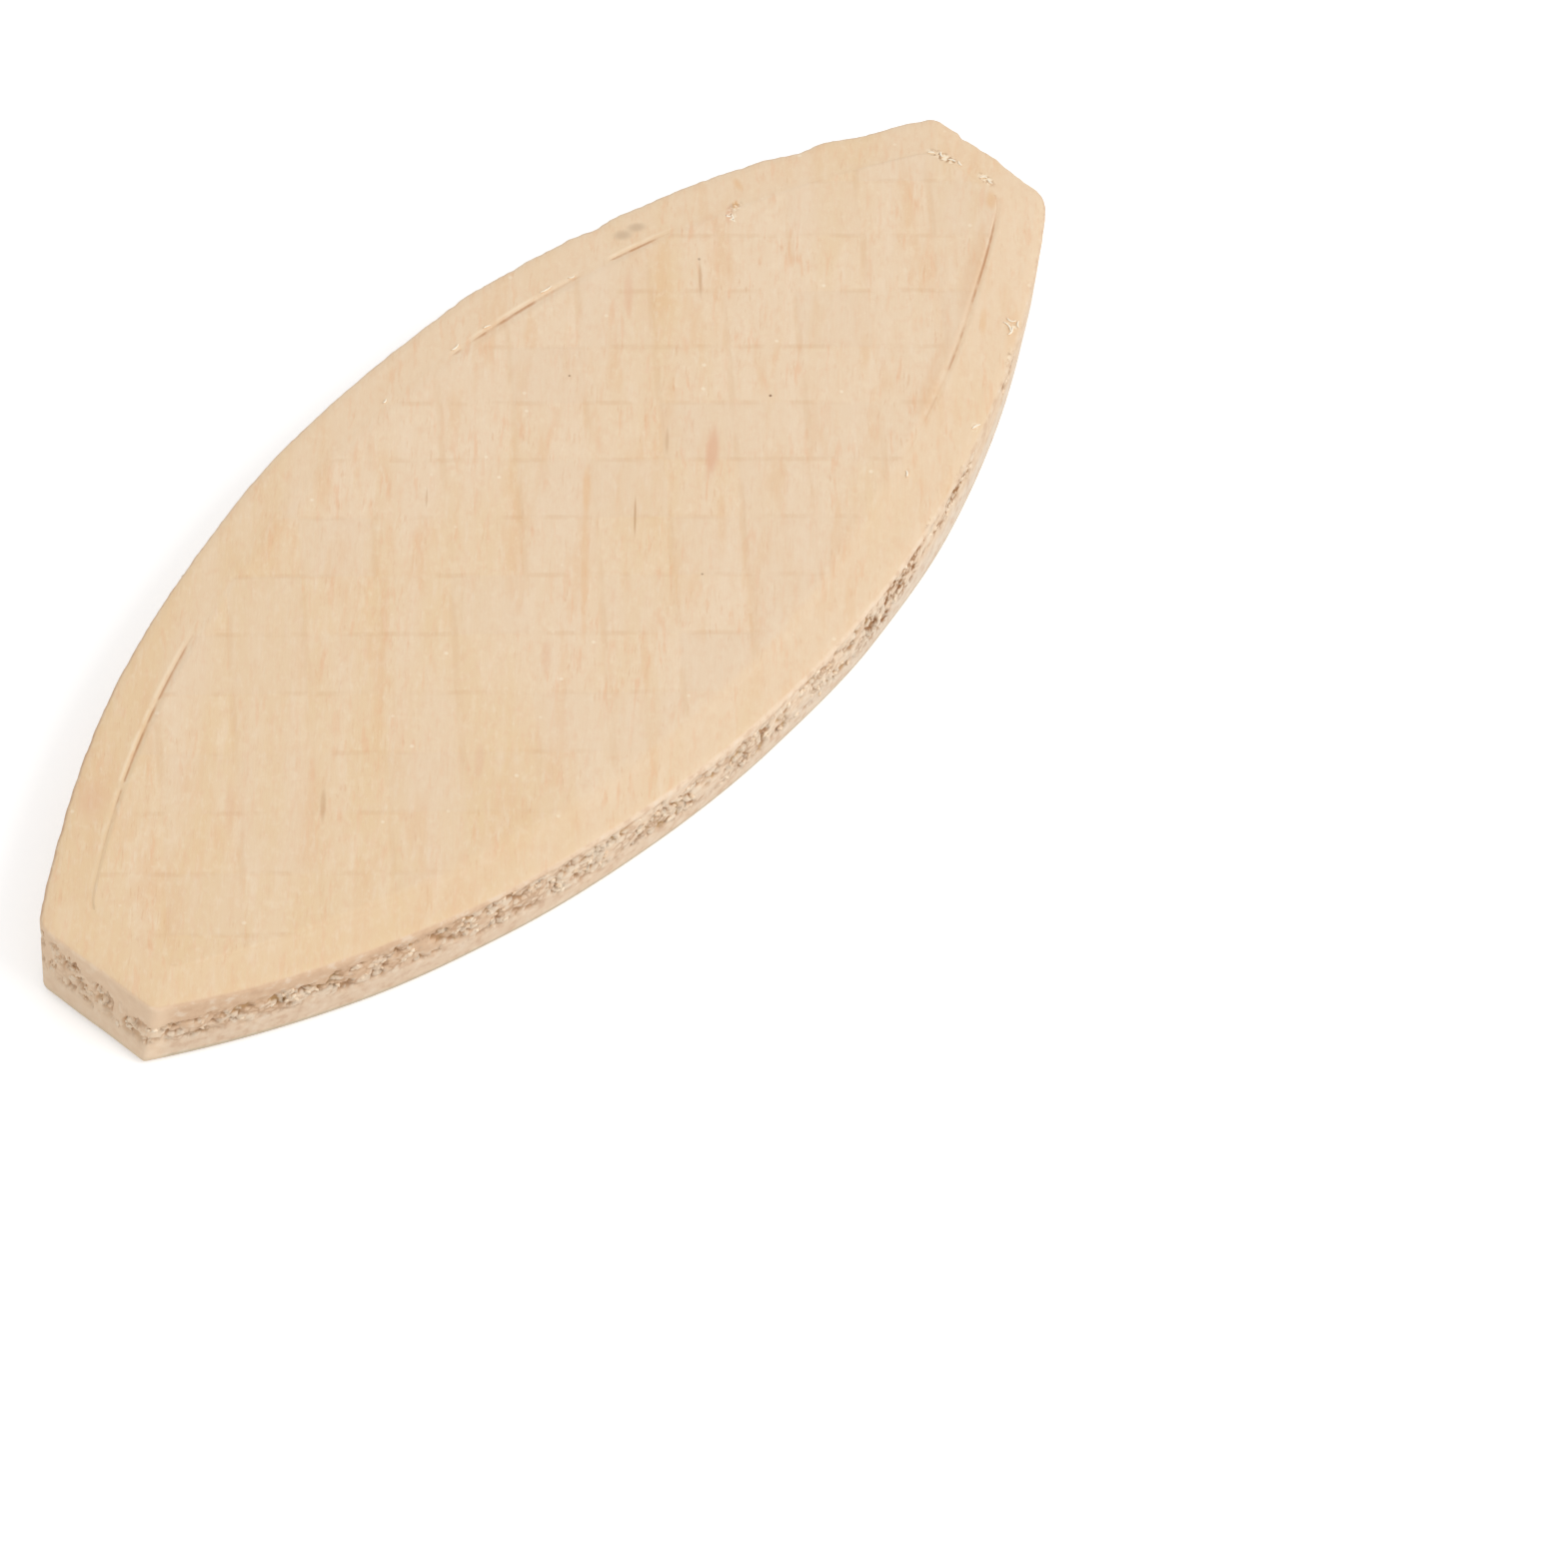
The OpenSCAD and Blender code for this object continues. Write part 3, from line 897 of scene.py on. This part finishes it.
# %% Bruised spots
BRUISES = (
    # x, y, half length, half width, turn in degrees, how dark, how light
    (26.35, 1.3, 0.9, 0.34, 100, 0.8, 1.0),
    (26.6, -0.75, 0.6, 0.3, 80, 0.7, 1.0),
    (19.6, -7.4, 1.1, 0.28, 32, 1.0, 0.9),
    (21.15, -6.3, 0.6, 0.3, 40, 0.2, 0.9),
    (15.95, -8.4, 0.5, 0.2, 28, 0.0, 1.0),
    (18.5, 5.9, 0.6, 0.3, 10, 0.3, 0.8),
    (17.95, 5.6, 0.4, 0.25, 60, 0.0, 1.0),
    (13.8, -9.5, 1.6, 0.3, 16, 1.1, 0.8),
    (10.9, -10.15, 0.8, 0.26, 13, 1.0, 0.6),
    (12.35, -7.85, 0.2, 0.14, 30, 0.0, 1.0),
)
bits = add(tree, "TexNoise", {"Vector": place, "Scale": 1 / (0.16 * MM), "Detail": 2.0}).outputs["Fac"]
for *shape, dark, light in BRUISES:
    spot = inside_mark(*shape, 1.0)
    dark_bits = number(tree, "MULTIPLY", spot, ramp(tree, bits, 0.5, 0.6, 0.0, 0.9 * dark))
    light_bits = number(tree, "MULTIPLY", spot, ramp(tree, bits, 0.38, 0.48, 0.9 * light, 0.0))
    colour = blend(tree, dark_bits, colour, srgb(142, 98, 60))
    colour = blend(tree, light_bits, colour, srgb(252, 238, 212))
print("%d bruised spots" % len(BRUISES))

# %% [markdown]
# ## Beech: the punched edge
#
# The edge has its own colours, with painted shade laid into some of them. Where the punch cut cleanly the fibre ends
# are packed together and look pinkish, and towards the left end this zone is painted darker pinkish brown, partly as
# painted shade.
# Below the torn zone they are paler, and palest at the right end. Pits are brown, partly as painted shade, because
# little light gets into them, and partly from dust. Tufts are cream, because they are torn fibre that nothing has
# touched. Hairline cracks too fine for the mesh are painted dark between small Voronoi cells, as painted shade in the
# cracks, and the very foot of the edge is painted greyer, as painted shade where it meets the floor.

# %% Colours of the edge
down, edge = attribute(tree, "down"), attribute(tree, "edge")
to_right = ramp(tree, along_x, -12 * MM, 16 * MM)
# Partly the wood's pinkish tone and partly painted shade: the upper zone is darker towards the left end.
upper_zone = blend(tree, ramp(tree, along_x, -19 * MM, -7 * MM), srgb(222, 188, 155), srgb(237, 212, 184))
upper_zone = blend(tree, ramp(tree, along_x, 6 * MM, 16 * MM), upper_zone, srgb(228, 202, 172))
lower_zone = blend(tree, to_right, srgb(229, 204, 177), srgb(227, 210, 190))
band = blend(tree, ramp(tree, down, 0.35, 0.75), upper_zone, lower_zone)
speckle = add(tree, "TexNoise", {"Vector": place, "Scale": 1 / (0.4 * MM), "Detail": 4.0}).outputs["Fac"]
band = blend(tree, ramp(tree, speckle, 0.48, 0.7, 0.0, 0.5), band, srgb(206, 168, 136))
band = blend(tree, ramp(tree, speckle, 0.3, 0.48, 0.5, 0.0), band, srgb(240, 222, 200))
# Painted shade at the foot of the edge, where it meets the floor: the lowest part is greyer.
band = blend(tree, ramp(tree, down, 0.94, 0.99, 0.0, 0.7), band, srgb(196, 186, 160))
torn, pit, tuft = (attribute(tree, name) for name in ("torn", "pit", "tuft"))
# Painted shade in hairline cracks between small Voronoi cells, strongest in the hooked stretch.
cell_gaps = add(tree, "TexVoronoi", {"Vector": shaken, "Scale": 1 / (0.36 * MM)}, feature="DISTANCE_TO_EDGE")
hairline_shade = ramp(tree, cell_gaps.outputs["Distance"], 0.05, 0.19, 1.0, 0.0)
hairline_shade = number(tree, "MULTIPLY", hairline_shade, ramp(tree, scattered, 0.45, 0.56))
along_y = add(tree, "SeparateXYZ", {0: place}).outputs["Y"]
hooked = ramp(tree, along_y, -6.5 * MM, -4 * MM, ramp(tree, along_x, 3 * MM, 9 * MM), 0.0)
hairline_shade = number(tree, "MULTIPLY", hairline_shade, number(tree, "MULTIPLY", torn, ramp(tree, hooked, 0, 1, 0.45, 0.9)))
band = blend(tree, hairline_shade, band, srgb(166, 122, 84))
# Pit colour: partly painted shade in the pits and partly dust, deepest in the hooked stretch.
ochre = blend(tree, ramp(tree, streaks(0.7, 1.2, 71.0), 0.45, 0.65), srgb(176, 132, 94), srgb(190, 150, 98))
ochre = blend(tree, number(tree, "MULTIPLY", hooked, 0.8), ochre, srgb(146, 100, 62))
pit_shade_and_dust = number(tree, "MULTIPLY", ramp(tree, pit, 0.1, ramp(tree, hooked, 0, 1, 0.75, 0.4)), ramp(tree, hooked, 0, 1, 0.78, 1.0))
band = blend(tree, pit_shade_and_dust, band, ochre)
band = blend(tree, ramp(tree, tuft, 0.2, 0.7, 0.0, 0.6), band, srgb(240, 222, 198))
on_left_tip = number(tree, "MULTIPLY", ramp(tree, along_x, -27.7 * MM, -27.0 * MM, 0.55, 0.0), edge)
band = blend(tree, on_left_tip, band, srgb(250, 222, 190))
colour = blend(tree, edge, colour, band)

# %% [markdown]
# ## Beech: roughness and the finest relief
#
# Pressed beech is silky: rough, with a faint sheen along the fibre, and rougher where it is torn. The finest fibre is
# too small for the mesh, so a Bump node carries it, only a few hundredths of a millimetre high.

# %% Finish the wood
fine_fibre = streaks(0.12, 0.9, 83.0, detail=3.0)
pores = number(tree, "ADD", fine_fibre, number(tree, "MULTIPLY", scattered, 0.4))
bump = add(tree, "Bump", {"Height": pores, "Strength": 0.3, "Distance": 0.02 * MM})
rough = ramp(tree, fine_fibre, 0.35, 0.7, 0.52, 0.66)
rough = number(tree, "MAXIMUM", rough, number(tree, "MULTIPLY", edge, 0.8))
shader = add(tree, "BsdfPrincipled", {"Base Color": colour, "Roughness": rough, "Normal": bump.outputs[0],
                                      "Specular IOR Level": 0.3})
add(tree, "OutputMaterial", {"Surface": shader.outputs[0]})
biscuit.data.materials.clear()
biscuit.data.materials.append(wood)
print("beech has %d nodes" % len(tree.nodes))

# %% [markdown]
# ## Loose tufts of fibre
#
# Torn wood stands out in small curled tufts. One tuft is a tiny icosphere, drawn out and bent; it is modelled once
# and copied, each copy with its own turn, size and twist. They lie along the edge with more than half their body in
# it, where the relief already has a tuft, so none of them hangs in the air. At the widest places they are pressed
# flat, to stay within the width and the length of the biscuit.

# %% Tufts along the torn zone
TUFTS = 420
TUFT_LONG, TUFT_WIDE = 0.15 * MM, 0.08 * MM
BOX_SLACK = 0.01 * MM
random.seed(20)


def tuft_shape():
    """The vertices and faces of one tuft of unit size."""
    bpy.ops.object.select_all(action="DESELECT")
    bpy.ops.mesh.primitive_ico_sphere_add(subdivisions=1, radius=1)
    made = bpy.context.object
    points = np.array([v.co for v in made.data.vertices])
    faces = [tuple(f.vertices) for f in made.data.polygons]
    bpy.data.objects.remove(made)
    return points, faces


points, faces = tuft_shape()
all_points, all_faces = [], []
for x, y, z, c in random.sample(tuft_places, min(TUFTS, len(tuft_places))):
    size = random.uniform(0.6, 1.2)
    jitter = np.array([[random.uniform(0.75, 1.25)] for _ in points])
    shaped = points * jitter * (TUFT_LONG * size, TUFT_WIDE * size, TUFT_WIDE * size)
    shaped[:, 2] += 0.35 * TUFT_WIDE * np.cos(shaped[:, 0] / TUFT_LONG * 2)
    along_edge = math.atan2(inward[c, 0], -inward[c, 1]) + random.uniform(-0.6, 0.6)
    turn = Matrix.Rotation(along_edge, 3, "Z") @ Matrix.Rotation(random.uniform(-1, 1), 3, "Y")
    shaped = shaped @ np.array(turn).T
    shaped += (x + inward[c, 0] * TUFT_WIDE * 0.3, y + inward[c, 1] * TUFT_WIDE * 0.3, z)
    shaped[:, 0] = np.clip(shaped[:, 0], BOX_SLACK - half_l, half_l - BOX_SLACK)
    shaped[:, 1] = np.clip(shaped[:, 1], BOX_SLACK - half_w, half_w - BOX_SLACK)
    start = len(all_points) * len(points)
    all_points.append(shaped)
    all_faces += [tuple(i + start for i in f) for f in faces]
tuft_mesh = bpy.data.meshes.new("torn_fibres")
tuft_mesh.from_pydata(np.vstack(all_points).tolist(), [], all_faces)
fibres = bpy.data.objects.new("torn_fibres", tuft_mesh)
bpy.context.scene.collection.objects.link(fibres)
tuft_mesh.shade_smooth()
print("%d tufts, %d triangles" % (len(all_points), len(all_faces)))

# %% [markdown]
# ## Lifted splinters on the face
#
# Where the die chafed the border, a few fibres were lifted out and curled. One is a small sphere with many rings,
# drawn out to a thin spindle and bent along an arc. Each lies on the level of the nearest point of the wood, which
# the mesh itself gives, so no height has to be written down.

# %% Lifted splinters
SPLINTERS = (
    # x, y, turn in degrees, length in mm, bend in radians
    (21.05, -6.2, 70, 0.6, 1.6),
    (21.3, -6.1, 110, 0.45, -2.0),
    (20.9, -6.45, 15, 0.5, 1.2),
    (21.35, -6.4, 40, 0.4, -1.4),
    (16.0, -8.4, -15, 0.45, -1.2),
    (18.0, 5.6, 50, 0.35, 1.2),
    (17.9, 5.75, 120, 0.25, -1.0),
    (26.2, 1.8, 130, 0.3, 1.4),
    (26.35, 1.4, 60, 0.35, -1.6),
    (26.45, 0.9, 110, 0.35, 1.2),
    (26.5, 0.55, 70, 0.3, -1.0),
    (26.6, -0.6, 130, 0.35, 1.6),
    (26.55, -0.95, 80, 0.3, -1.2),
    (5.1, 9.5, 0, 0.45, 0.8),
    (6.8, 9.3, -20, 0.35, -1.0),
    (9.9, 8.75, -12, 0.6, 0.4),
    (11.1, 8.4, -25, 0.3, 1.0),
    (1.05, 9.8, 10, 0.25, 0.8),
    (12.1, -7.95, 40, 0.35, 0.8),
)
SPLINTER_HALF = 0.042 * MM
bpy.ops.object.select_all(action="DESELECT")
bpy.ops.mesh.primitive_uv_sphere_add(segments=6, ring_count=10, radius=1)
spindle = bpy.context.object
spindle_points = np.array([v.co for v in spindle.data.vertices])
spindle_faces = [tuple(f.vertices) for f in spindle.data.polygons]
bpy.data.objects.remove(spindle)
skin = np.empty(len(mesh.vertices) * 3)
mesh.vertices.foreach_get("co", skin)
skin = skin.reshape(-1, 3)
skin = skin[skin[:, 2] > thick / 2]


def splinter(x, y, turn, length, bend):
    """The points of one splinter that lies on the wood."""
    part = spindle_points[:, 2] * bend / 2
    radius = length * MM / bend
    side = spindle_points[:, 0] * SPLINTER_HALF
    along = (radius - side) * np.sin(part)
    across = radius - (radius - side) * np.cos(part)
    level = skin[np.argmin((skin[:, 0] - x * MM) ** 2 + (skin[:, 1] - y * MM) ** 2), 2]
    height = level + SPLINTER_HALF * (0.5 + spindle_points[:, 1] + 0.8 * spindle_points[:, 2] ** 2)
    cos, sin = math.cos(math.radians(turn)), math.sin(math.radians(turn))
    made = np.c_[x * MM + cos * along - sin * across, y * MM + sin * along + cos * across, height]
    return np.minimum(made, (half_l, half_w, thick - BOX_SLACK))


splinter_points = [splinter(*row) for row in SPLINTERS]
splinter_faces = [tuple(i + n * len(spindle_points) for i in f) for n in range(len(SPLINTERS)) for f in spindle_faces]
splinter_mesh = bpy.data.meshes.new("lifted_splinters")
splinter_mesh.from_pydata(np.vstack(splinter_points).tolist(), [], splinter_faces)
splinters = bpy.data.objects.new("lifted_splinters", splinter_mesh)
bpy.context.scene.collection.objects.link(splinters)
splinter_mesh.shade_smooth()
print("%d splinters" % len(SPLINTERS))

# %% [markdown]
# ## Raw fibre
#
# Torn and lifted fibre is paler than the pressed face, because nothing has rubbed or crushed it. One function makes
# the material from two colours that lie in patches. The splinters are the palest, and stand out on the face.

# %% Material of the tufts and splinters
def raw_fibre(name, pale, dull):
    """A rough fibre material whose colour lies in patches."""
    made, tree = new_material(name)
    place = add(tree, "TexCoord").outputs["Object"]
    patches = add(tree, "TexNoise", {"Vector": place, "Scale": 1 / (0.5 * MM), "Detail": 3.0}).outputs["Fac"]
    fibre_colour = blend(tree, ramp(tree, patches, 0.35, 0.65), pale, dull)
    hairs = add(tree, "TexNoise", {"Vector": place, "Scale": 1 / (0.06 * MM), "Detail": 3.0}).outputs["Fac"]
    bump = add(tree, "Bump", {"Height": hairs, "Strength": 0.5, "Distance": 0.02 * MM})
    shader = add(tree, "BsdfPrincipled", {"Base Color": fibre_colour, "Roughness": 0.85,
                                          "Normal": bump.outputs[0], "Specular IOR Level": 0.2})
    add(tree, "OutputMaterial", {"Surface": shader.outputs[0]})
    return made


tuft_mesh.materials.append(raw_fibre("raw_fibre", srgb(247, 229, 204), srgb(232, 205, 175)))
splinter_mesh.materials.append(raw_fibre("lifted_fibre", srgb(255, 246, 228), srgb(250, 234, 208)))
print("raw fibre on the tufts")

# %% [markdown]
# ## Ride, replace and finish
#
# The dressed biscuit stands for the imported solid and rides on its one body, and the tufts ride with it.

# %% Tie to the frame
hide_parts("biscuit")
for piece in (biscuit, fibres, splinters):
    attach(piece, "root")
